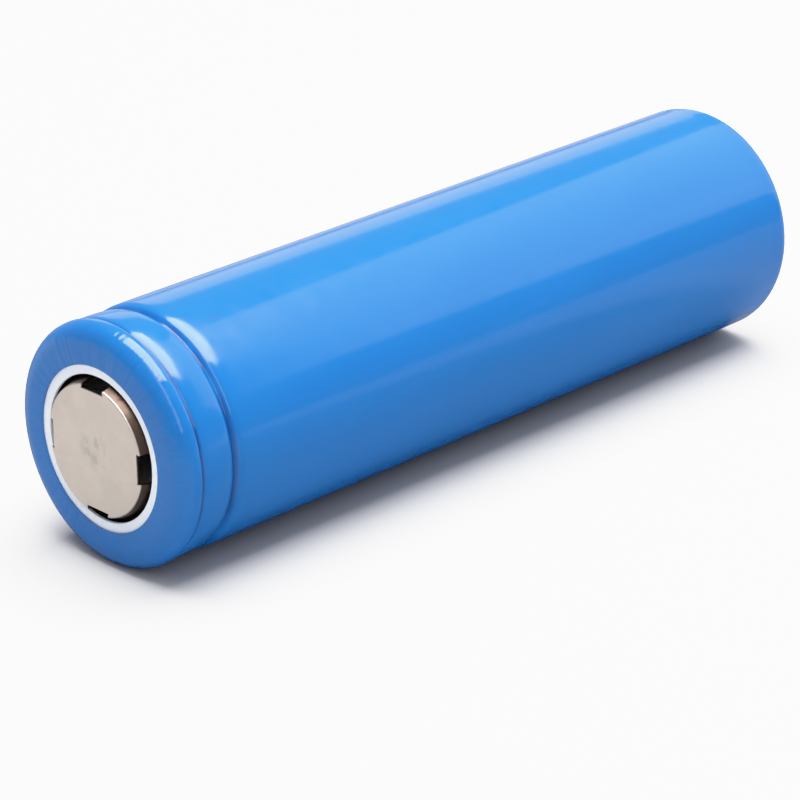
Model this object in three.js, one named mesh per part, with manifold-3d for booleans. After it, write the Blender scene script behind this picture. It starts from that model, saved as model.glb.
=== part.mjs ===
// A cylindrical lithium-ion cell, 18 mm across and 65 mm long, lying on its side. It is built as it is
// assembled: a deep-drawn can holds the wound electrodes, a crimped stack of discs closes its front, and
// a heat-shrunk film sleeves the whole. The axis runs along Y, with the positive cap facing -Y.
import * as THREE from "three";
import { mergeVertices } from "three/addons/utils/BufferGeometryUtils.js";
import Module from "manifold-3d";

const wasm = await Module();
wasm.setup();

// Driving dimensions, in millimetres. Depths are measured along the axis from the sleeve's front face.
const CELL_LENGTH = 65.2; // from the cap's face to the sleeve's rear face
const CELL_RADIUS = 9.2; // over the sleeve
const CAP_PROUD = 0.4; // how far the cap's face stands in front of the sleeve
const GAP = 0.03; // between two pieces that touch on the real cell

const FILM = 0.1; // the sleeve's wall
const FRONT_OPENING = 6.2; // the sleeve's radii at its two ends
const REAR_OPENING = 7;
const FRONT_SHOULDER = { radial: 1.7, axial: 1.35 };
const REAR_SHOULDER = { radial: 0.9, axial: 1.1 };
// How far the film draws in behind the crimp, as [inset, depth] points.
const FILM_GROOVE = [[0, 1.5], [0.22, 1.85], [0.16, 3], [0.25, 4.85], [0.03, 5.4], [0, 6.4]];

const WASHER = { inner: 5.5, outer: 7.4, thickness: 0.25 };

const CAN_RADIUS = CELL_RADIUS - FILM - GAP;
const CAN_WALL = 0.25;
const CAN_CORNER = 0.9;
const CONTACT = { radius: 6.8, raised: 0.04, step: 0.1 }; // the flat middle of the can's bottom
const LIP_INNER = 6.75; // the can's front edge, folded in over the gasket
const LIP_DEPTH = 0.42;
const CRIMP_RADIUS = 8.85;
const CRIMP_SHOULDER = { radial: 1.1, axial: 1.13 };
const BEAD = { start: 2.2, floorStart: 2.9, floorEnd: 4, radius: 8.2 };
const BEAD_RUN_OUT = [[0, 6.8], [0.1, 5.4], [0.3, 4.9]]; // [inset, depth], from the straight wall forwards

const STACK_RADIUS = 8.1; // the discs that the gasket grips
const CAP = { face: 4.8, foot: 5.4, thickness: 0.3, flangeDepth: 0.98 };
const CAP_EDGE = { radial: 0.13, axial: 0.08 };
const CAP_FILLET = { radial: 0.15, axial: 0.23 };
const WINDOW = { count: 4, width: 2.3, inner: 4.5, outer: 5.6, start: -1, end: 0.72 };
const PTC = { inner: 5.3, depth: 1.31, plate: 0.05, polymer: 0.15, gap: 0.01 };
const VENT = { depth: 1.61, thickness: 0.3, hole: 4 };
const DOME = { radius: 3.95, shoulder: 2.6, foot: 1.1, drop: 0.74, thickness: 0.28 };
const GASKET = { lipInner: 6.3, floorInner: 7, radius: 8.53, front: 0.72, rear: 2.2, chamfer: 0.25 };
const GASKET_SHOULDER = { radial: 0.78, axial: 0.83 };
const CID_RING = { inner: 5.2, outer: 6.7, depth: 1.94, thickness: 0.73 };
const CID_PLATE = { radius: 6.5, depth: 2.7, thickness: 0.3, holes: 6, holeRadius: 0.6, holeCircle: 3.9 };

const TOP_INSULATOR = { inner: 2.2, outer: 8.5, depth: 5.45, thickness: 0.2, slot: 0.9, slotClearance: 0.3 };
const BOTTOM_INSULATOR = { inner: 1.7, outer: 8.3, depth: 63.4, thickness: 0.2 };

const ROLL = { core: 1.75, steps: 131, stepsPerTurn: 20, top: 6.3, bottom: 63.2 };
const SEPARATOR = 0.05; // sheet thicknesses in the roll
const FOIL = 0.06;
const COATING = 0.13;
const BONDED = 0.01; // between a foil and its coating
const ANODE_INSET = 0.5; // how far each electrode's edge lies inside the separators'
const CATHODE_INSET = 1.1;

const TAB = 0.1; // both tabs' thickness
const POSITIVE_TAB = {
  width: 3,
  turn: 3, // the turn of the roll that it stands in
  rootDepth: 5.9,
  lap: 0.1,
  bend: 0.5,
  runDepth: 4.4,
  reach: -3,
  weldDepth: 3.08,
  weldEnd: 1.5,
};
const NEGATIVE_TAB = { width: 4, radius: 8.58, top: 9, landing: 63.95, reach: 3 };
const NEGATIVE_WELD = { radius: 1.5, length: 0.38 };
const POSITIVE_TAPE = { thickness: 0.06, length: 0.85, overhang: 0.2, gap: 0.05, middle: 5.4 };
const NEGATIVE_TAPE = { inner: 8.7, outer: 8.74, halfAngle: 17, depth: 60.2, length: 3 };
const ROLL_TAPE = { inner: 8.55, outer: 8.6, halfAngle: 150, depth: 24, length: 20 };
const PIN = { inner: 1.3, outer: 1.5, depth: 7.6, length: 54, slit: 30 };

// Worked out from the above.
const SLEEVE_LENGTH = CELL_LENGTH - CAP_PROUD;
const CAN_BOTTOM = SLEEVE_LENGTH - FILM - CONTACT.raised;
const ROLL_LENGTH = ROLL.bottom - ROLL.top;
const ELECTRODE = 2 * COATING + FOIL + 2 * BONDED;
const ROLL_PITCH = 2 * (SEPARATOR + ELECTRODE + 2 * GAP);
const OUTER_SEGMENTS = 32; // a multiple of 4, so that flats face down, up and to both sides
const INNER_SEGMENTS = 24;

const finish = (color, roughness, metalness) =>
  new THREE.MeshStandardMaterial({ color, roughness, metalness });
const film = finish(0x1f6fcc, 0.25, 0);
const fibre = finish(0xe9ebee, 0.7, 0);
const nickel = finish(0xcfc8bc, 0.32, 1);
const aluminium = finish(0xc9ccd0, 0.4, 1);
const clearPlastic = finish(0xdfe3e4, 0.5, 0);
const blackPolymer = finish(0x222326, 0.6, 0);
const separatorFilm = finish(0xf2f2ee, 0.6, 0);
const copper = finish(0xb87350, 0.35, 1);
const graphite = finish(0x2b2b2e, 0.85, 0);
const oxide = finish(0x1c1b1e, 0.9, 0);
const amberTape = finish(0xc98a2b, 0.4, 0);
const greenTape = finish(0x3f8f63, 0.45, 0);

const cell = new THREE.Group(); // its y is the depth behind the sleeve's front face
cell.position.set(0, CAP_PROUD - CELL_LENGTH / 2, CELL_RADIUS);

function add(name, geometry, material, depth = 0) {
  const mesh = new THREE.Mesh(geometry, material);
  mesh.name = name;
  mesh.position.y = depth;
  cell.add(mesh);
}

// Points [radius, depth] round a quarter ellipse, from `from` to `to` in quarter turns: 0 faces the
// front, 1 faces outwards and 2 faces the rear.
function shoulder(centreRadius, centreDepth, { radial, axial }, from, to, steps) {
  return Array.from({ length: steps + 1 }, (_, i) => {
    const angle = ((from + ((to - from) * i) / steps) * Math.PI) / 2;
    return [centreRadius + radial * Math.sin(angle), centreDepth - axial * Math.cos(angle)];
  });
}

// The outline of a sheet of even thickness: along `line`, and back on its left (on its right if the
// thickness is negative). A line that reaches the axis starts there.
function sheetOutline(line, thickness) {
  const normals = line.slice(1).map(([x, y], i) => {
    const [dx, dy] = [x - line[i][0], y - line[i][1]];
    const length = Math.hypot(dx, dy);
    return [-dy / length, dx / length];
  });
  const back = line.map(([x, y], i) => {
    const before = normals[Math.max(i - 1, 0)];
    const after = normals[Math.min(i, normals.length - 1)];
    const mitre = thickness / (1 + before[0] * after[0] + before[1] * after[1]);
    return [x + mitre * (before[0] + after[0]), y + mitre * (before[1] + after[1])];
  });
  return [...line, ...back.reverse()];
}

// A turned piece from its outline of [radius, depth] points. Radii are measured to the flats, and one
// flat faces straight down.
function turned(outline, segments = INNER_SEGMENTS) {
  const toCorner = 1 / Math.cos(Math.PI / segments);
  const points = outline.map(([radius, depth]) => new THREE.Vector2(radius * toCorner, depth));
  if (THREE.ShapeUtils.isClockWise(points)) points.reverse();
  if (points[0].x > 0) points.push(points[0]);
  return new THREE.LatheGeometry(points, segments, Math.PI / segments);
}

function ring(inner, outer, thickness, segments) {
  return turned([[inner, 0], [outer, 0], [outer, thickness], [inner, thickness]], segments);
}

// A flat outline in the x-z plane, given thickness along the axis.
function alongAxis(shape, length) {
  return new THREE.ExtrudeGeometry(shape, { depth: length, bevelEnabled: false }).rotateX(-Math.PI / 2);
}

// A strip bent round the axis, between two angles in degrees measured from +x.
function curvedStrip(inner, outer, from, to, steps, length) {
  const side = (radius) =>
    Array.from({ length: steps + 1 }, (_, i) => {
      const angle = THREE.MathUtils.degToRad(from + ((to - from) * i) / steps);
      return new THREE.Vector2(radius * Math.cos(angle), radius * Math.sin(angle));
    });
  return alongAxis(new THREE.Shape([...side(outer), ...side(inner).reverse()]), length);
}

function solidOf(geometry) {
  const bare = geometry.clone().deleteAttribute("normal").deleteAttribute("uv");
  const { index, attributes } = mergeVertices(bare, 1e-4);
  const triVerts = new Uint32Array(index.array);
  const vertProperties = attributes.position.array;
  return new wasm.Manifold(new wasm.Mesh({ numProp: 3, vertProperties, triVerts }));
}

function geometryOf(solid) {
  const { vertProperties, triVerts } = solid.getMesh();
  return new THREE.BufferGeometry()
    .setAttribute("position", new THREE.BufferAttribute(vertProperties, 3))
    .setIndex(new THREE.BufferAttribute(triVerts, 1));
}

const joined = (...pieces) => geometryOf(pieces.map(solidOf).reduce((all, piece) => all.add(piece)));
const cut = (piece, ...tools) =>
  geometryOf(tools.map(solidOf).reduce((left, tool) => left.subtract(tool), solidOf(piece)));

// The film follows the can: round both ends, and a little way into the bead behind the crimp.
function sleeve() {
  const [front, rear] = [FRONT_SHOULDER, REAR_SHOULDER];
  const line = [
    [FRONT_OPENING, 0],
    ...shoulder(CELL_RADIUS - front.radial, front.axial, front, 0, 1, 5),
    ...FILM_GROOVE.map(([inset, depth]) => [CELL_RADIUS - inset, depth]),
    ...shoulder(CELL_RADIUS - rear.radial, SLEEVE_LENGTH - rear.axial, rear, 1, 2, 3),
    [REAR_OPENING, SLEEVE_LENGTH],
  ];
  return turned(sheetOutline(line, FILM), OUTER_SEGMENTS);
}

// One drawn steel cup: flat bottom, straight wall, rolled bead and folded front lip.
function can() {
  const corner = { radial: CAN_CORNER, axial: CAN_CORNER };
  const crimp = CRIMP_SHOULDER;
  const line = [
    [0, CAN_BOTTOM + CONTACT.raised],
    [CONTACT.radius, CAN_BOTTOM + CONTACT.raised],
    [CONTACT.radius + CONTACT.step, CAN_BOTTOM],
    ...shoulder(CAN_RADIUS - CAN_CORNER, CAN_BOTTOM - CAN_CORNER, corner, 2, 1, 3),
    ...BEAD_RUN_OUT.map(([inset, depth]) => [CAN_RADIUS - inset, depth]),
    [BEAD.radius, BEAD.floorEnd],
    [BEAD.radius, BEAD.floorStart],
    [CRIMP_RADIUS, BEAD.start],
    ...shoulder(CRIMP_RADIUS - crimp.radial, LIP_DEPTH + crimp.axial, crimp, 1, 0, 3),
    [LIP_INNER, LIP_DEPTH],
  ];
  return turned(sheetOutline(line, -CAN_WALL), OUTER_SEGMENTS);
}

// A moulded ring that grips the edges of the cap, the polymer ring and its plates, and the vent disc.
function gasket() {
  const { lipInner, floorInner, radius, front, rear, chamfer } = GASKET;
  return turned(
    [
      [lipInner, front],
      ...shoulder(radius - GASKET_SHOULDER.radial, front + GASKET_SHOULDER.axial, GASKET_SHOULDER, 0, 1, 3),
      [radius, rear - chamfer],
      [radius - chamfer, rear],
      [floorInner, rear],
      [floorInner, CID_RING.depth],
      [STACK_RADIUS + GAP, CID_RING.depth],
      [STACK_RADIUS + GAP, CAP.flangeDepth - GAP],
      [lipInner, CAP.flangeDepth - GAP],
    ],
    OUTER_SEGMENTS,
  );
}

// A stamped hat with a flat face, and windows through its sloping side that let gas out.
function cap() {
  const line = [
    [0, -CAP_PROUD],
    [CAP.face, -CAP_PROUD],
    [CAP.face + CAP_EDGE.radial, -CAP_PROUD + CAP_EDGE.axial],
    [CAP.foot - CAP_FILLET.radial, CAP.flangeDepth - CAP_FILLET.axial],
    [CAP.foot, CAP.flangeDepth],
    [STACK_RADIUS, CAP.flangeDepth],
  ];
  const windows = Array.from({ length: WINDOW.count }, (_, i) =>
    new THREE.BoxGeometry(WINDOW.outer - WINDOW.inner, WINDOW.end - WINDOW.start, WINDOW.width)
      .translate((WINDOW.inner + WINDOW.outer) / 2, (WINDOW.start + WINDOW.end) / 2, 0)
      .rotateY((i * 2 * Math.PI) / WINDOW.count),
  );
  return cut(turned(sheetOutline(line, CAP.thickness), OUTER_SEGMENTS), ...windows);
}

// The centre of the vent disc: a shallow dish that sinks back to meet the plate behind it.
function ventDome() {
  const line = [
    [0, DOME.drop],
    [DOME.foot, DOME.drop],
    [DOME.shoulder, 0],
    [DOME.radius, 0],
  ];
  return turned(sheetOutline(line, DOME.thickness));
}

function cidPlate() {
  const disc = new THREE.Shape().absarc(0, 0, CID_PLATE.radius, 0, 2 * Math.PI);
  for (let i = 0; i < CID_PLATE.holes; i++) {
    const angle = (i * 2 * Math.PI) / CID_PLATE.holes;
    const [x, y] = [CID_PLATE.holeCircle * Math.cos(angle), CID_PLATE.holeCircle * Math.sin(angle)];
    disc.holes.push(new THREE.Path().absarc(x, y, CID_PLATE.holeRadius, 0, 2 * Math.PI, true));
  }
  const settings = { depth: CID_PLATE.thickness, bevelEnabled: false, curveSegments: 8 };
  return new THREE.ExtrudeGeometry(disc, settings).rotateX(-Math.PI / 2);
}

// One wound sheet of the roll, as an extruded spiral that starts `offset` outside the core.
function woundSheet(offset, thickness, length) {
  const side = (extra) =>
    Array.from({ length: ROLL.steps + 1 }, (_, i) => {
      const turn = i / ROLL.stepsPerTurn;
      const radius = ROLL.core + offset + extra + ROLL_PITCH * turn;
      return new THREE.Vector2(radius * Math.cos(2 * Math.PI * turn), radius * Math.sin(2 * Math.PI * turn));
    });
  return alongAxis(new THREE.Shape([...side(thickness), ...side(0).reverse()]), length);
}

// The tab stands in the middle of the cathode, at the start of a turn.
const cathodeMiddle = 2 * SEPARATOR + 3 * GAP + 1.5 * ELECTRODE;
const positiveTabRadius = ROLL.core + cathodeMiddle + ROLL_PITCH * POSITIVE_TAB.turn;
const halfAngle = (width, radius) => THREE.MathUtils.radToDeg(Math.asin(width / 2 / radius));

// An aluminium strip that leaves the roll beside the cathode, folds once across the core, and is welded
// to the back of the perforated plate.
function positiveTab() {
  const { width, rootDepth, lap, bend, runDepth, reach, weldDepth, weldEnd } = POSITIVE_TAB;
  const rootLength = ROLL.top + CATHODE_INSET - GAP - rootDepth;
  const angle = halfAngle(width, positiveTabRadius);
  const start = positiveTabRadius - TAB / 2;
  const root = curvedStrip(start, start + TAB, -angle, angle, 4, rootLength).translate(0, rootDepth, 0);
  const fold = (runDepth - weldDepth) / 2;
  const route = new THREE.Path()
    .moveTo(start, ROLL.top - lap)
    .lineTo(start, runDepth + bend)
    .absarc(start - bend, runDepth + bend, bend, 0, -Math.PI / 2, true)
    .lineTo(reach, runDepth)
    .absarc(reach, runDepth - fold, fold, Math.PI / 2, (3 * Math.PI) / 2)
    .lineTo(weldEnd, weldDepth);
  const line = route.getPoints(3).map(({ x, y }) => [x, y]);
  const stepTo = ([x, y], i) => Math.hypot(x - line[i - 1][0], y - line[i - 1][1]);
  const distinct = line.filter((point, i) => !i || stepTo(point, i) > 1e-3);
  const outline = sheetOutline(distinct, TAB).map(([x, y]) => new THREE.Vector2(x, y));
  const ribbon = new THREE.ExtrudeGeometry(new THREE.Shape(outline), { depth: width, bevelEnabled: false });
  return joined(root, ribbon.translate(0, 0, -width / 2));
}

// A nickel strip down the outside of the roll, folded in across the bottom and welded to the can.
function negativeTab() {
  const { width, radius, top, landing, reach } = NEGATIVE_TAB;
  const outer = radius + TAB;
  const angle = THREE.MathUtils.degToRad(halfAngle(width, outer));
  const strip = curvedStrip(radius, outer, 180 - halfAngle(width, outer), 180 + halfAngle(width, outer), 4,
    landing + TAB - top).translate(0, top, 0);
  const plate = new THREE.Shape()
    .moveTo(reach, -width / 2)
    .lineTo(reach, width / 2)
    .absarc(0, 0, outer - TAB / 2, Math.PI - angle, Math.PI + angle);
  const foot = alongAxis(plate, TAB).translate(0, landing, 0);
  const { radius: weldRadius, length } = NEGATIVE_WELD;
  const nugget = turned([[0, 0], [weldRadius, 0], [weldRadius, length + TAB / 2], [0, length + TAB / 2]]);
  return joined(strip, foot, nugget.translate(0, landing + TAB / 2, 0));
}

// Outside, from the front to the rear.
add("sleeve", sleeve(), film);
add("top_washer", ring(WASHER.inner, WASHER.outer, WASHER.thickness, OUTER_SEGMENTS), fibre, FILM + GAP);
add("steel_can", can(), nickel);

// The closure, from the cap inwards.
add("gasket", gasket(), clearPlastic);
add("positive_cap", cap(), nickel);
let layerDepth = PTC.depth;
for (const [name, thickness, material] of [
  ["ptc_front_plate", PTC.plate, nickel],
  ["ptc_polymer", PTC.polymer, blackPolymer],
  ["ptc_rear_plate", PTC.plate, nickel],
]) {
  add(name, ring(PTC.inner, STACK_RADIUS, thickness, OUTER_SEGMENTS), material, layerDepth);
  layerDepth += thickness + PTC.gap;
}
add("vent_disc", ring(VENT.hole, STACK_RADIUS, VENT.thickness, OUTER_SEGMENTS), aluminium, VENT.depth);
add("vent_dome", ventDome(), aluminium, VENT.depth);
add("cid_insulator", ring(CID_RING.inner, CID_RING.outer, CID_RING.thickness), clearPlastic, CID_RING.depth);
add("cid_plate", cidPlate(), aluminium, CID_PLATE.depth);

// The connections and insulators at both ends of the roll.
const topDisc = ring(TOP_INSULATOR.inner, TOP_INSULATOR.outer, TOP_INSULATOR.thickness);
const slotLength = POSITIVE_TAB.width + 2 * TOP_INSULATOR.slotClearance;
const slot = new THREE.BoxGeometry(TOP_INSULATOR.slot, 4 * TOP_INSULATOR.thickness, slotLength)
  .translate(positiveTabRadius, 0, 0);
add("top_insulator", cut(topDisc, slot), fibre, TOP_INSULATOR.depth);
add("positive_tab", positiveTab(), aluminium);
const tapeWidth = POSITIVE_TAB.width + 2 * POSITIVE_TAPE.overhang;
const tapeRadius = positiveTabRadius + TAB / 2 + POSITIVE_TAPE.gap + POSITIVE_TAPE.thickness / 2;
const tape = new THREE.BoxGeometry(POSITIVE_TAPE.thickness, POSITIVE_TAPE.length, tapeWidth)
  .translate(tapeRadius, 0, 0);
add("positive_tab_tape", tape, amberTape, POSITIVE_TAPE.middle);
const bottomDisc = ring(BOTTOM_INSULATOR.inner, BOTTOM_INSULATOR.outer, BOTTOM_INSULATOR.thickness);
add("bottom_insulator", bottomDisc, fibre, BOTTOM_INSULATOR.depth);
add("negative_tab", negativeTab(), nickel);
const { inner, outer, halfAngle: side, length } = NEGATIVE_TAPE;
add("negative_tab_tape", curvedStrip(inner, outer, 180 - side, 180 + side, 4, length), amberTape,
  NEGATIVE_TAPE.depth);

// The roll: two coated foils and two separators wound together, closed with tape, round a slit pin.
const sheets = [
  ["separator_inner", SEPARATOR, GAP, 0, separatorFilm],
  ["anode_coating_inner", COATING, BONDED, ANODE_INSET, graphite],
  ["anode_foil", FOIL, BONDED, ANODE_INSET, copper],
  ["anode_coating_outer", COATING, GAP, ANODE_INSET, graphite],
  ["separator_outer", SEPARATOR, GAP, 0, separatorFilm],
  ["cathode_coating_inner", COATING, BONDED, CATHODE_INSET, oxide],
  ["cathode_foil", FOIL, BONDED, CATHODE_INSET, aluminium],
  ["cathode_coating_outer", COATING, GAP, CATHODE_INSET, oxide],
];
let offset = 0;
for (const [name, thickness, gapAfter, inset, material] of sheets) {
  add(name, woundSheet(offset, thickness, ROLL_LENGTH - 2 * inset), material, ROLL.top + inset);
  offset += thickness + gapAfter;
}
const closing = curvedStrip(ROLL_TAPE.inner, ROLL_TAPE.outer, -ROLL_TAPE.halfAngle, ROLL_TAPE.halfAngle, 20,
  ROLL_TAPE.length);
add("roll_tape", closing, greenTape, ROLL_TAPE.depth);
const pin = curvedStrip(PIN.inner, PIN.outer, PIN.slit / 2, 360 - PIN.slit / 2, 22, PIN.length);
add("center_pin", pin, nickel, PIN.depth);

export default cell;
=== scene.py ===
from math import cos, pi, radians, sin

import bpy
from mathutils import Matrix, Vector


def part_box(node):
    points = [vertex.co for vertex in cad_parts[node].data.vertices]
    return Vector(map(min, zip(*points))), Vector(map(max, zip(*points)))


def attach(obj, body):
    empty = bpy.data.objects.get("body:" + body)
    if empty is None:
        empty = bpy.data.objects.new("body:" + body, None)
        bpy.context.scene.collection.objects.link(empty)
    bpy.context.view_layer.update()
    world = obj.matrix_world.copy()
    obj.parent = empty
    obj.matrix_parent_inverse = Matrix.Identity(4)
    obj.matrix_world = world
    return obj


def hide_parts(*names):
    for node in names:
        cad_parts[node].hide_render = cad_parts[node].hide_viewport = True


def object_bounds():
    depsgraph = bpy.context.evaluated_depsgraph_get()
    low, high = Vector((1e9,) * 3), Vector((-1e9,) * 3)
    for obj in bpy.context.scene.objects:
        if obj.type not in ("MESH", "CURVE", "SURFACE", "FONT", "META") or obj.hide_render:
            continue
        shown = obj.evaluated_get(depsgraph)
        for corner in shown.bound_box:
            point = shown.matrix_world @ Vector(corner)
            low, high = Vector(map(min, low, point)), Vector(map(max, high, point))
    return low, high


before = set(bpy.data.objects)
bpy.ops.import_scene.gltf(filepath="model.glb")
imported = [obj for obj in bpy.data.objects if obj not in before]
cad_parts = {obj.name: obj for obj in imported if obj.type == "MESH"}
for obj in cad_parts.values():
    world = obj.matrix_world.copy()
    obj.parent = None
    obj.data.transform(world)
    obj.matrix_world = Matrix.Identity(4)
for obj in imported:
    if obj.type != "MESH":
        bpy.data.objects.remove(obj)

cad_low, cad_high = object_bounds()

# A rechargeable cell, taken to be of the 18 by 65 mm size and put together from the inside out: the
# wound roll, its tabs and insulators, the crimped closure, the can, the washer, and the shrunk film
# over them all. The cell's lengths are in millimetres, times MM, and the depths in the outlines are
# measured back from the film's front edge.
MM = 0.001
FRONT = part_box("sleeve")[0].y / MM
AXIS = (cad_low.z + cad_high.z) / 2 / MM
LENGTH = (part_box("sleeve")[1].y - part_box("sleeve")[0].y) / MM


# The two separators: white microporous polyolefin film with a satin surface and faint lines that lie
# along the cell. They keep the coated foils of the roll apart.
def new_finish(name, colour, roughness, metallic=0.0, **sockets):
    """A material of one colour and gloss, with any other values for its surface shader."""
    material = bpy.data.materials.new(name)
    material.use_nodes = True
    shader = material.node_tree.nodes["Principled BSDF"]
    shader.inputs["Base Color"].default_value = (*colour, 1)
    shader.inputs["Roughness"].default_value = roughness
    shader.inputs["Metallic"].default_value = metallic
    for socket, value in sockets.items():
        shader.inputs[socket.replace("_", " ")].default_value = value
    return material


def add_node(material, kind, inputs, **settings):
    """A node of a material. An input takes a value, or another node's output."""
    node = material.node_tree.nodes.new(kind)
    for setting, value in settings.items():
        setattr(node, setting, value)
    for socket, value in inputs.items():
        if isinstance(value, bpy.types.NodeSocket):
            material.node_tree.links.new(value, node.inputs[socket])
        else:
            node.inputs[socket].default_value = value
    return node


def place(material, stretch=(1, 1, 1)):
    """Where a point is, in millimetres, with its height measured from the cell's axis. A stretch below 1
    draws a pattern out along that axis of the frame, and 0 makes it the same all along it."""
    found = add_node(material, "ShaderNodeTexCoord", {})
    scale = tuple(s / MM for s in stretch)
    centre = (0, 0, -AXIS * stretch[2])
    spot = add_node(material, "ShaderNodeMapping",
                    {"Vector": found.outputs["Object"], "Scale": scale, "Location": centre})
    return spot.outputs["Vector"]


def speckle(material, size, stretch=(1, 1, 1), detail=3.0):
    """A cloudy pattern between 0 and 1, mostly near the middle, with spots of that size in millimetres."""
    return add_node(material, "ShaderNodeTexNoise",
                    {"Vector": place(material, stretch), "Scale": 1 / size, "Detail": detail}).outputs["Fac"]


# Most of a cloudy pattern lies between these two values.
CLOUD_LOW = 0.3
CLOUD_HIGH = 0.7


def vary(material, pattern, low, high, socket):
    """Lets a value of the surface shader follow a cloudy pattern, from low to high."""
    shader = material.node_tree.nodes["Principled BSDF"]
    if isinstance(low, tuple):
        ramp = add_node(material, "ShaderNodeValToRGB", {"Fac": pattern})
        ramp.color_ramp.elements[0].position = CLOUD_LOW
        ramp.color_ramp.elements[1].position = CLOUD_HIGH
        ramp.color_ramp.elements[0].color = (*low, 1)
        ramp.color_ramp.elements[1].color = (*high, 1)
        material.node_tree.links.new(ramp.outputs["Color"], shader.inputs[socket])
        return
    spread = add_node(material, "ShaderNodeMapRange",
                      {"Value": pattern, "From Min": CLOUD_LOW, "From Max": CLOUD_HIGH,
                       "To Min": low, "To Max": high})
    material.node_tree.links.new(spread.outputs["Result"], shader.inputs[socket])


def emboss(material, pattern, height):
    """Raises and sinks the surface with a pattern, by that many millimetres."""
    shader = material.node_tree.nodes["Principled BSDF"]
    inputs = {"Height": pattern, "Strength": 1.0, "Distance": height * MM}
    bump = add_node(material, "ShaderNodeBump", inputs)
    if shader.inputs["Normal"].is_linked:
        earlier = shader.inputs["Normal"].links[0].from_socket
        material.node_tree.links.new(earlier, bump.inputs["Normal"])
    material.node_tree.links.new(bump.outputs["Normal"], shader.inputs["Normal"])


def cover(names, material):
    """Gives pieces that keep their shape from the frame their finish."""
    for name in names:
        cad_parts[name].material_slots[0].material = material


microporous_film = new_finish("microporous_film", (0.86, 0.86, 0.83), 0.5)
vary(microporous_film, speckle(microporous_film, 1.5), (0.82, 0.82, 0.79), (0.88, 0.88, 0.86), "Base Color")
emboss(microporous_film, speckle(microporous_film, 0.12, (1, 0.1, 1)), 0.003)
cover(["separator_inner", "separator_outer"], microporous_film)


# The negative electrode: copper foil with a rolled graphite coating on each side, dark grey, and a
# little glossier where the rollers pressed it flat.
graphite = new_finish("graphite", (0.035, 0.036, 0.04), 0.6)
vary(graphite, speckle(graphite, 0.08), (0.025, 0.025, 0.028), (0.06, 0.062, 0.066), "Base Color")
vary(graphite, speckle(graphite, 0.9, (1, 0.15, 1)), 0.48, 0.72, "Roughness")
emboss(graphite, speckle(graphite, 0.05), 0.004)
cover(["anode_coating_inner", "anode_coating_outer"], graphite)

copper = new_finish("copper", (0.78, 0.36, 0.22), 0.3, metallic=1.0)
vary(copper, speckle(copper, 3.0), (0.7, 0.3, 0.18), (0.82, 0.4, 0.25), "Base Color")
emboss(copper, speckle(copper, 0.06, (1, 0.03, 1)), 0.002)
cover(["anode_foil"], copper)


# The positive electrode: aluminium foil with a black metal-oxide coating on each side, duller and
# finer than the graphite.
oxide = new_finish("oxide", (0.016, 0.015, 0.018), 0.75)
vary(oxide, speckle(oxide, 0.05), (0.012, 0.011, 0.013), (0.028, 0.026, 0.03), "Base Color")
emboss(oxide, speckle(oxide, 0.03), 0.003)
cover(["cathode_coating_inner", "cathode_coating_outer"], oxide)

rolled_aluminium = new_finish("rolled_aluminium", (0.82, 0.83, 0.85), 0.35, metallic=1.0)
vary(rolled_aluminium, speckle(rolled_aluminium, 0.8, (1, 0.08, 1)), 0.28, 0.45, "Roughness")
emboss(rolled_aluminium, speckle(rolled_aluminium, 0.05, (1, 0.02, 1)), 0.0015)
cover(["cathode_foil"], rolled_aluminium)


# The tape that closes the roll, and the amber heat-proof tapes on the two tabs. All are thin glossy
# films that lie a little unevenly.
green_tape = new_finish("green_tape", (0.05, 0.3, 0.13), 0.22)
vary(green_tape, speckle(green_tape, 1.2), (0.04, 0.26, 0.11), (0.07, 0.36, 0.17), "Base Color")
emboss(green_tape, speckle(green_tape, 0.7), 0.01)
cover(["roll_tape"], green_tape)

amber_tape = new_finish("amber_tape", (0.62, 0.27, 0.03), 0.2)
vary(amber_tape, speckle(amber_tape, 0.8), (0.5, 0.2, 0.02), (0.7, 0.33, 0.05), "Base Color")
emboss(amber_tape, speckle(amber_tape, 0.5), 0.008)
cover(["positive_tab_tape", "negative_tab_tape"], amber_tape)


# The pin in the roll's core, rolled from plated strip, and the nickel tab that joins the outside of
# the roll to the can. Both are plain satin metal with draw lines along the axis.
drawn_nickel = new_finish("drawn_nickel", (0.7, 0.66, 0.6), 0.3, metallic=1.0)
vary(drawn_nickel, speckle(drawn_nickel, 0.5, (1, 0.05, 1)), 0.24, 0.4, "Roughness")
emboss(drawn_nickel, speckle(drawn_nickel, 0.04, (1, 0.02, 1)), 0.0015)
cover(["center_pin", "negative_tab"], drawn_nickel)


# The aluminium tab that joins the roll to the closure, and the closure's stamped aluminium discs. They
# are the same metal as the foil of the positive electrode and have its finish.
cover(["positive_tab", "vent_disc", "vent_dome", "cid_plate"], rolled_aluminium)


# The round insulators at the two ends of the roll: pressed fibre board, matte, with short fibres that
# lie every way.
pressed_board = new_finish("pressed_board", (0.78, 0.79, 0.8), 0.85)
fibres = speckle(pressed_board, 0.25, detail=6.0)
vary(pressed_board, fibres, (0.7, 0.71, 0.71), (0.84, 0.85, 0.86), "Base Color")
emboss(pressed_board, speckle(pressed_board, 0.1, detail=6.0), 0.012)
cover(["top_insulator", "bottom_insulator"], pressed_board)


# The gasket that the crimp squeezes, and the ring behind the vent disc: moulded polypropylene without
# colour, a little waxy.
waxy_plastic = new_finish("waxy_plastic", (0.72, 0.75, 0.76), 0.42,
                          Subsurface_Weight=0.15, Subsurface_Scale=0.5 * MM)
vary(waxy_plastic, speckle(waxy_plastic, 1.0), 0.36, 0.5, "Roughness")
emboss(waxy_plastic, speckle(waxy_plastic, 0.3), 0.004)
cover(["gasket", "cid_insulator"], waxy_plastic)


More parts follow.
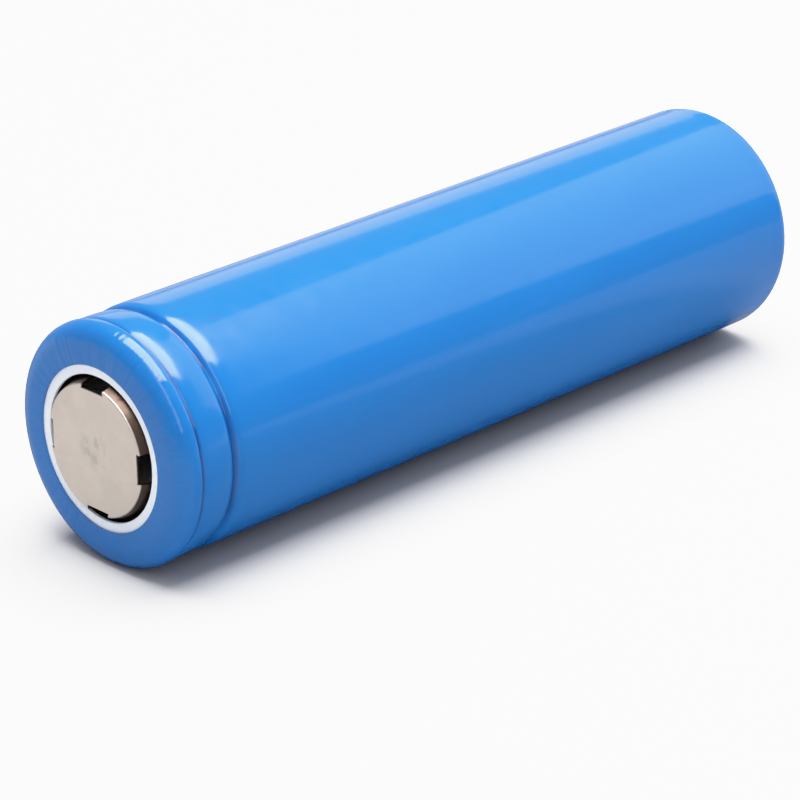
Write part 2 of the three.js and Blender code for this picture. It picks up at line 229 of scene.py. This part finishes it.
# The ring that chokes the current when the cell is too hot: carbon-filled polymer between two thin
# plates of nickel-plated steel.
carbon_polymer = new_finish("carbon_polymer", (0.02, 0.02, 0.022), 0.55)
vary(carbon_polymer, speckle(carbon_polymer, 0.15), 0.45, 0.65, "Roughness")
emboss(carbon_polymer, speckle(carbon_polymer, 0.1), 0.004)
cover(["ptc_polymer"], carbon_polymer)
cover(["ptc_front_plate", "ptc_rear_plate"], drawn_nickel)


# The positive cap: a hat stamped from nickel-plated steel, with four windows punched through its
# sloping side and a flange that the gasket grips. Handling has left dull smudges on its face.
CAP_FACE = -0.4
CAP_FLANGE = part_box("positive_cap")[1].x / MM
CAP_FLANGE_DEPTH = 0.98
CAP_SHEET = 0.3
WINDOW_WIDTH = 2.3
WINDOW_INNER = 4.5
WINDOW_DEPTH = 0.72
# The dull dark brown painted as shade down the cap's side, behind its face.
CAP_SIDE_SHADE = (0.1, 0.065, 0.05)
SMOOTH_ANGLE = 35


def bend(centre_radius, centre_depth, radial, axial, start, end, steps):
    """Points (radius, depth) round a bend. Turned to 0 degrees it faces the front, and to 90 outwards."""
    turns = [radians(start + (end - start) * i / steps) for i in range(steps + 1)]
    return [(centre_radius + radial * sin(t), centre_depth - axial * cos(t)) for t in turns]


def draw_out(name, outline, sides=192):
    """A round surface drawn out from a circle, ring by ring, through (radius, depth) points. An outline
    that ends on the axis is closed there."""
    bpy.ops.object.select_all(action="DESELECT")
    radius, depth = outline[0]
    bpy.ops.mesh.primitive_circle_add(vertices=sides, radius=radius * MM, rotation=(pi / 2, 0, 0),
                                      location=(0, (FRONT + depth) * MM, AXIS * MM))
    piece = bpy.context.object
    piece.name = name
    bpy.ops.object.mode_set(mode="EDIT")
    for wider, deeper in outline[1:]:
        bpy.ops.mesh.extrude_region_move(TRANSFORM_OT_translate={"value": (0, (deeper - depth) * MM, 0)})
        if wider == 0:
            bpy.ops.mesh.merge(type="CENTER")
            break
        bpy.ops.transform.resize(value=(wider / radius, 1, wider / radius),
                                 center_override=(0, (FRONT + deeper) * MM, AXIS * MM))
        radius, depth = wider, deeper
    bpy.ops.mesh.select_all(action="SELECT")
    bpy.ops.mesh.remove_doubles(threshold=0.0005 * MM)
    bpy.ops.mesh.normals_make_consistent(inside=False)
    bpy.ops.object.mode_set(mode="OBJECT")
    bpy.ops.object.transform_apply(location=True, rotation=True, scale=True)
    return piece


def face_out(piece):
    """Turns all faces of a closed piece outwards."""
    bpy.context.view_layer.objects.active = piece
    bpy.ops.object.mode_set(mode="EDIT")
    bpy.ops.mesh.select_all(action="SELECT")
    bpy.ops.mesh.normals_make_consistent(inside=False)
    bpy.ops.object.mode_set(mode="OBJECT")


def modify(piece, kind, **settings):
    """Adds a modifier to a piece and applies it."""
    modifier = piece.modifiers.new(kind.title(), kind)
    for setting, value in settings.items():
        setattr(modifier, setting, value)
    bpy.context.view_layer.objects.active = piece
    bpy.ops.object.modifier_apply(modifier=modifier.name)


def finish_piece(piece, material, replaced):
    """Shades a new piece, gives it its finish, and fixes it to the cell in place of a frame node."""
    bpy.ops.object.select_all(action="DESELECT")
    piece.select_set(True)
    bpy.context.view_layer.objects.active = piece
    bpy.ops.object.shade_smooth_by_angle(angle=radians(SMOOTH_ANGLE))
    piece.data.materials.clear()
    piece.data.materials.append(material)
    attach(piece, "cell")
    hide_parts(replaced)


cap = draw_out("cap", [
    (CAP_FLANGE, CAP_FLANGE_DEPTH),
    (6.4, CAP_FLANGE_DEPTH),
    *bend(5.52, CAP_FLANGE_DEPTH - 0.12, 0.16, 0.12, 180, 245, 4),
    *bend(4.85, CAP_FACE + 0.1, 0.12, 0.1, 70, 0, 5),
    (4.3, CAP_FACE),
    (2.0, CAP_FACE),
    (0.8, CAP_FACE),
    (0, CAP_FACE),
])
# The windows are cut along their edges and taken out before the sheet gets its thickness.
middle = Vector((0, FRONT, AXIS)) * MM
bpy.ops.object.mode_set(mode="EDIT")
for turn in (0, pi / 2, pi, 3 * pi / 2):
    outwards = Vector((cos(turn), 0, sin(turn)))
    sideways = Vector((-sin(turn), 0, cos(turn)))
    for edge, facing in [(outwards * WINDOW_INNER, outwards), (sideways * WINDOW_WIDTH / 2, sideways)]:
        bpy.ops.mesh.select_all(action="SELECT")
        bpy.ops.mesh.bisect(plane_co=middle + edge * MM, plane_no=facing)
bpy.ops.mesh.select_all(action="SELECT")
bpy.ops.mesh.bisect(plane_co=middle + Vector((0, WINDOW_DEPTH * MM, 0)), plane_no=(0, 1, 0))
bpy.ops.mesh.select_all(action="DESELECT")
bpy.ops.object.mode_set(mode="OBJECT")
for face in cap.data.polygons:
    spot = (face.center - middle) / MM
    across, along = sorted((abs(spot.x), abs(spot.z)))
    face.select = along > WINDOW_INNER and across < WINDOW_WIDTH / 2 and spot.y < WINDOW_DEPTH
bpy.ops.object.mode_set(mode="EDIT")
bpy.ops.mesh.select_mode(type="FACE")
bpy.ops.mesh.delete(type="FACE")
bpy.ops.mesh.select_mode(type="VERT")
bpy.ops.object.mode_set(mode="OBJECT")
modify(cap, "SOLIDIFY", thickness=CAP_SHEET * MM, offset=1)
face_out(cap)


def how_deep(material):
    """How far back a point lies along the axis, in millimetres from the middle of the cell's length."""
    return add_node(material, "ShaderNodeSeparateXYZ", {"Vector": place(material)}).outputs["Y"]


def how_far(material, axes=(1, 0, 1)):
    """How far a point lies from the middle of the cell, in millimetres, along the axes that are 1. With
    the usual ones that is its distance from the cell's axis."""
    spot = place(material, axes)
    return add_node(material, "ShaderNodeVectorMath", {"Vector": spot}, operation="LENGTH").outputs["Value"]


def between(material, value, start, end):
    """A smooth step from 0 where a value is at its start to 1 where it is at its end, and level beyond
    them. The end may be the lower of the two."""
    step = add_node(material, "ShaderNodeMapRange",
                    {"Value": value, "From Min": start, "From Max": end}, interpolation_type="SMOOTHSTEP")
    return step.outputs["Result"]


def times(material, one, other):
    """A pattern multiplied by another one or by a number."""
    return add_node(material, "ShaderNodeMath", {0: one, 1: other}, operation="MULTIPLY").outputs["Value"]


def blend(material, mask, one, other):
    """One colour where a mask is 0 and another where it is 1. Either may be another node's output."""
    sides = [side if isinstance(side, bpy.types.NodeSocket) else (*side, 1) for side in (one, other)]
    mixed = add_node(material, "ShaderNodeMix", {"Factor": mask, 6: sides[0], 7: sides[1]}, data_type="RGBA")
    return mixed.outputs[2]


def stain_and_shade(material, mask, colour):
    """Another colour over the surface's own where a mask is 1, used for stains and for painted shade."""
    base = material.node_tree.nodes["Principled BSDF"].inputs["Base Color"]
    under = base.links[0].from_socket if base.is_linked else base.default_value[:3]
    material.node_tree.links.new(blend(material, mask, under, colour), base)


stamped_nickel = new_finish("stamped_nickel", (0.82, 0.73, 0.64), 0.34, metallic=1.0)
clouds = speckle(stamped_nickel, 1.6, detail=4.0)
vary(stamped_nickel, clouds, (0.78, 0.7, 0.61), (0.86, 0.77, 0.67), "Base Color")
vary(stamped_nickel, speckle(stamped_nickel, 0.5, detail=6.0), 0.3, 0.42, "Roughness")
emboss(stamped_nickel, speckle(stamped_nickel, 0.12), 0.002)
handled = times(stamped_nickel, between(stamped_nickel, how_far(stamped_nickel), 2.0, 0.6),
                between(stamped_nickel, speckle(stamped_nickel, 0.9, detail=4.0), 0.45, 0.58))
stain_and_shade(stamped_nickel, times(stamped_nickel, handled, 0.7), (0.6, 0.56, 0.46))
# Painted shade: behind its face, down its side, the cap's colour is darkened to a dull dark brown, where its
# recess lies in shade.
hat = FRONT + CAP_FACE
stain_and_shade(stamped_nickel, between(stamped_nickel, how_deep(stamped_nickel), hat + 0.03, hat + 0.14), CAP_SIDE_SHADE)
finish_piece(cap, stamped_nickel, "positive_cap")


# The can: one cup deep-drawn from nickel-plated steel. A groove rolled round it holds the closure up,
# and its front edge is folded in over the gasket. Its bottom, the negative terminal, has a faint ring
# where the tab inside is welded on.
CAN_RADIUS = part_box("steel_can")[1].x / MM
CAN_BOTTOM = (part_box("steel_can")[1].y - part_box("sleeve")[0].y) / MM
CAN_CORNER = 0.9
CAN_SHEET = 0.25
CRIMP_RADIUS = 8.8
CONTACT_RADIUS = 6.8
RIM_DEPTH = CAN_BOTTOM - 0.04
WELD_RADIUS = 1.4
can = draw_out("can", [
    (6.75, 0.42),
    *bend(CRIMP_RADIUS - 1.1, 1.55, 1.1, 1.13, 0, 90, 8),
    (CRIMP_RADIUS, 2.2),
    (8.55, 2.5),
    (8.2, 2.95),
    (8.2, 4.1),
    (8.4, 4.7),
    (8.7, 5.1),
    (8.95, 5.6),
    (CAN_RADIUS, 6.6),
    (CAN_RADIUS, 20),
    (CAN_RADIUS, 40),
    *bend(CAN_RADIUS - CAN_CORNER, RIM_DEPTH - CAN_CORNER, CAN_CORNER, CAN_CORNER, 90, 180, 10),
    (7.2, RIM_DEPTH),
    (CONTACT_RADIUS + 0.12, RIM_DEPTH),
    (CONTACT_RADIUS, CAN_BOTTOM),
    (5.0, CAN_BOTTOM),
    (3.0, CAN_BOTTOM),
    (1.0, CAN_BOTTOM),
    (0, CAN_BOTTOM),
])
modify(can, "SOLIDIFY", thickness=CAN_SHEET * MM, offset=-1)

plated_can = new_finish("plated_can", (0.8, 0.76, 0.7), 0.3, metallic=1.0)
dulled = speckle(plated_can, 2.5, detail=6.0)
vary(plated_can, dulled, (0.74, 0.7, 0.64), (0.84, 0.8, 0.74), "Base Color")
vary(plated_can, speckle(plated_can, 2.2, detail=6.0), 0.22, 0.42, "Roughness")
emboss(plated_can, speckle(plated_can, 0.15), 0.0015)
emboss(plated_can, speckle(plated_can, 0.06, (1, 1, 0.04)), 0.0012)
ring = times(plated_can, between(plated_can, how_far(plated_can), WELD_RADIUS - 0.4, WELD_RADIUS - 0.05),
             between(plated_can, how_far(plated_can), WELD_RADIUS + 0.35, WELD_RADIUS))
bottom = FRONT + CAN_BOTTOM
weld_mark = times(plated_can, ring, between(plated_can, how_deep(plated_can), bottom - 0.1, bottom - 0.05))
emboss(plated_can, weld_mark, -0.03)
stain_and_shade(plated_can, times(plated_can, weld_mark, 0.5), (0.55, 0.5, 0.44))
finish_piece(can, plated_can, "steel_can")


# The washer under the front of the film: white fibre board, punched out, that insulates the rim of
# the can from the cap.
WASHER_FRONT = 0.13
WASHER_BACK = 0.38
WASHER_INNER = 5.5
WASHER_OUTER = 7.4
washer = draw_out("washer", [
    (WASHER_INNER, WASHER_BACK - 0.03),
    (WASHER_INNER, WASHER_FRONT + 0.05),
    *bend(WASHER_INNER + 0.05, WASHER_FRONT + 0.05, 0.05, 0.05, -70, 0, 3),
    (6.5, WASHER_FRONT),
    (WASHER_OUTER, WASHER_FRONT),
    (WASHER_OUTER, WASHER_BACK),
    (WASHER_INNER + 0.03, WASHER_BACK),
    (WASHER_INNER, WASHER_BACK - 0.03),
])
washer_board = new_finish("washer_board", (0.74, 0.8, 0.9), 0.8)
pulp = speckle(washer_board, 0.2, detail=6.0)
vary(washer_board, pulp, (0.7, 0.76, 0.86), (0.78, 0.84, 0.94), "Base Color")
emboss(washer_board, speckle(washer_board, 0.07, detail=6.0), 0.008)
finish_piece(washer, washer_board, "top_washer")


# The sleeve: blue plastic tube, shrunk on with hot air. It draws in over both rims and a little into
# the groove, where it creases.
FILM = 0.1
RADIUS = (cad_high.x - cad_low.x) / 2 / MM
# How far back each crease lies, and how far the painted shade along it spreads to each side.
CREASE_SHADES = [(1.75, 0.24), (4.79, 0.36)]
# How far from each end the film is puckered.
PUCKERED = 2.2
BODY_START = 7.2
BODY_END = LENGTH - 1.6
BODY_RINGS = 40
body = [(RADIUS, BODY_START + (BODY_END - BODY_START) * i / BODY_RINGS) for i in range(BODY_RINGS + 1)]
sleeve = draw_out("film", [
    (6.2, 0.015),
    (6.25, 0.0),
    (6.6, 0.0),
    (7.1, 0.0),
    *bend(RADIUS - 1.7, 1.3, 1.68, 1.3, 3, 86, 14),
    (RADIUS - 0.01, 1.42),
    (RADIUS - 0.04, 1.54),
    (RADIUS - 0.12, 1.63),
    (RADIUS - 0.23, 1.69),
    (RADIUS - 0.28, 1.75),
    (RADIUS - 0.25, 1.81),
    (RADIUS - 0.17, 1.9),
    (RADIUS - 0.12, 2.1),
    (RADIUS - 0.09, 2.5),
    (RADIUS - 0.09, 3.1),
    (RADIUS - 0.11, 3.7),
    (RADIUS - 0.15, 4.2),
    (RADIUS - 0.24, 4.5),
    (RADIUS - 0.38, 4.68),
    (RADIUS - 0.43, 4.78),
    (RADIUS - 0.38, 4.88),
    (RADIUS - 0.2, 5.03),
    (RADIUS - 0.06, 5.25),
    (RADIUS - 0.01, 5.6),
    (RADIUS, 6.4),
    *body,
    *bend(RADIUS - 0.9, LENGTH - 1.1, 0.9, 1.1, 92, 176, 12),
    (8.0, LENGTH),
    (7.5, LENGTH),
    (7.04, LENGTH),
    (7.0, LENGTH - 0.015),
], sides=256)
modify(sleeve, "SOLIDIFY", thickness=FILM * MM, offset=-1)

shrunk_film = new_finish("shrunk_film", (0.004, 0.11, 0.385), 0.13, Specular_IOR_Level=0.45)
drawn = speckle(shrunk_film, 4.0, (1, 0.3, 1))
vary(shrunk_film, drawn, (0.0035, 0.106, 0.375), (0.005, 0.114, 0.395), "Base Color")
vary(shrunk_film, speckle(shrunk_film, 1.5, detail=5.0), 0.1, 0.18, "Roughness")
emboss(shrunk_film, speckle(shrunk_film, 1.2, (1, 0.25, 1)), 0.004)
depth = how_deep(shrunk_film)
patchy_shade = between(shrunk_film, speckle(shrunk_film, 5.0, (1, 0, 1)), 0.3, 0.55)
# Painted shade: the film's colour is darkened, in patches, along each crease.
for crease, spread in CREASE_SHADES:
    fold = FRONT + crease
    near = times(shrunk_film, between(shrunk_film, depth, fold - spread, fold),
                 between(shrunk_film, depth, fold + spread, fold))
    stain_and_shade(shrunk_film, times(shrunk_film, near, patchy_shade), (0.0, 0.045, 0.2))
outward = add_node(shrunk_film, "ShaderNodeVectorMath",
                   {"Vector": place(shrunk_film, (1, 0, 1))}, operation="NORMALIZE").outputs["Vector"]
puckers = add_node(shrunk_film, "ShaderNodeTexNoise",
                   {"Vector": outward, "Scale": 9.0, "Detail": 3.0, "Roughness": 0.6}).outputs["Fac"]
for rim, smooth in ((FRONT, FRONT + PUCKERED), (FRONT + LENGTH, FRONT + LENGTH - PUCKERED)):
    emboss(shrunk_film, times(shrunk_film, puckers, between(shrunk_film, depth, smooth, rim)), 0.12)
finish_piece(sleeve, shrunk_film, "sleeve")


# The table: a plain pale sheet that runs out of sight.
PAPER = (0.55, 0.545, 0.55)
HAZE = (0.98, 0.98, 1.0)
HAZE_STRENGTH = 1.7
FADE_START = 110
FADE_END = 420
bpy.ops.object.select_all(action="DESELECT")
bpy.ops.mesh.primitive_plane_add(size=8, location=(0, 0, cad_low.z))
table = bpy.context.object
table.name = "table"
bpy.ops.object.transform_apply(location=True, rotation=True, scale=True)
pale_table = new_finish("pale_table", PAPER, 0.6, Specular_IOR_Level=0.0)
pale_shader = pale_table.node_tree.nodes["Principled BSDF"]
ray = add_node(pale_table, "ShaderNodeLightPath", {})
# Painted reflection: reflections show a darker table than the eye sees, darkest beside the cell, where the
# darkening stands in for the cell's shadow.
along = how_deep(pale_table)
beside = times(pale_table, between(pale_table, along, FRONT - 3, FRONT + 6),
               between(pale_table, along, FRONT + LENGTH + 8, FRONT + LENGTH - 2))
painted_reflection = blend(pale_table, beside, (0.25, 0.245, 0.25), (0.12, 0.13, 0.14))
colour = blend(pale_table, ray.outputs["Is Glossy Ray"], PAPER, painted_reflection)
pale_table.node_tree.links.new(colour, pale_shader.inputs["Base Color"])
# Far away the camera sees the table fade into the white behind it, with no edge between them.
distance = how_far(pale_table, (1, 1, 0))
faded = times(pale_table, between(pale_table, distance, FADE_START, FADE_END), ray.outputs["Is Camera Ray"])
pale_shader.inputs["Emission Color"].default_value = (*HAZE, 1)
glow = times(pale_table, faded, HAZE_STRENGTH)
pale_table.node_tree.links.new(glow, pale_shader.inputs["Emission Strength"])
table.data.materials.append(pale_table)


# Light: a dim white room, a large soft light overhead, a narrow one above the front right, a faint one
# far behind on the left, and a slanting white panel above and behind. The camera sees the room brighter
# than it shines.
def hang_light(name, spot, size, power, axes=None):
    """A soft rectangular light that faces the cell, or has its width, height and back along three axes.
    Lengths are in metres."""
    bpy.ops.object.light_add(type="AREA", location=spot)
    light = bpy.context.object
    light.name = name
    light.data.shape = "RECTANGLE"
    light.data.size, light.data.size_y = size
    light.data.energy = power
    turned = Matrix(axes).transposed() if axes else Vector(spot).to_track_quat("Z", "Y")
    light.rotation_euler = turned.to_euler()
    light.visible_camera = False


def power_of(brightness, size):
    """The power of a light, in proportion to its area, so that lights of any size look equally bright."""
    return brightness * pi * size[0] * size[1]


room = bpy.data.worlds.new("room")
bpy.context.scene.world = room
room.use_nodes = True
shining = room.node_tree.nodes["Background"]
shining.inputs["Color"].default_value = (0.96, 0.97, 1.0, 1)
shining.inputs["Strength"].default_value = 0.45
haze = room.node_tree.nodes.new("ShaderNodeBackground")
haze.inputs["Color"].default_value = (*HAZE, 1)
haze.inputs["Strength"].default_value = HAZE_STRENGTH
seen = room.node_tree.nodes.new("ShaderNodeLightPath")
either = room.node_tree.nodes.new("ShaderNodeMixShader")
room.node_tree.links.new(seen.outputs["Is Camera Ray"], either.inputs["Fac"])
room.node_tree.links.new(shining.outputs["Background"], either.inputs[1])
room.node_tree.links.new(haze.outputs["Background"], either.inputs[2])
room.node_tree.links.new(either.outputs["Shader"], room.node_tree.nodes["World Output"].inputs["Surface"])

hang_light("overhead", (0.0, 0.08, 0.8), (0.8, 0.8), 24.0)

STRIP_SIZE = (0.16, 0.6)
strip_back = Vector((0.56, -0.5, 0.66)).normalized()
strip_along = Vector((-0.80, 0.09, 0.74)).normalized()
strip_along = (strip_along - strip_back * strip_along.dot(strip_back)).normalized()
strip_axes = (strip_along.cross(strip_back), strip_along, strip_back)
hang_light("strip", (0.34, -0.30, 0.40), STRIP_SIZE, power_of(2.5, STRIP_SIZE), strip_axes)

BACKDROP_SIZE = (0.5, 0.4)
hang_light("backdrop", (-0.86, 0.78, 0.30), BACKDROP_SIZE, power_of(0.9, BACKDROP_SIZE))

# The panel's crisp edge shows in the film as a line. Its light fades away from that edge, so it is made
# of three sheets that all start there.
PANEL_EDGE = Vector((-0.140, 0.385, 0.445))
PANEL_ALONG = Vector((-0.548, 0.632, -0.548))
PANEL_ACROSS = Vector((0.798, 0.210, -0.564))
PANEL_LENGTH = 0.45
panel_axes = (PANEL_ACROSS, PANEL_ALONG, PANEL_ACROSS.cross(PANEL_ALONG))
for width in (0.25, 0.4, 0.55):
    sheet = (width, PANEL_LENGTH)
    hang_light("panel", PANEL_EDGE + PANEL_ACROSS * width / 2, sheet, power_of(1.2, sheet), panel_axes)

# The picture is shown as a camera shows it: bright colours roll off before they clip.
BRIGHTEST = 4
shown = bpy.context.scene.view_settings
shown.view_transform = "Standard"
shown.use_curve_mapping = True
shown.curve_mapping.clip_max_x = BRIGHTEST
shown.curve_mapping.use_clip = True
roll_off = shown.curve_mapping.curves[3]
roll_off.points[1].location = (BRIGHTEST, 1)
for bright, softened in [(0.3, 0.285), (0.6, 0.53), (0.9, 0.75), (1.2, 0.88), (1.7, 0.955)]:
    roll_off.points.new(bright, softened)
shown.curve_mapping.update()


# The camera stands in front of the cell, to its right and above it, and has a long lens.
bpy.ops.object.camera_add(location=(0.1728, -0.1720, 0.1089), rotation=(radians(66.5), 0, radians(45.56)))
camera = bpy.context.object
camera.rotation_euler.rotate_axis("Z", radians(-0.73))
camera.data.sensor_width = 36
camera.data.lens = 155.57
camera.data.clip_start = 0.01
bpy.context.scene.camera = camera
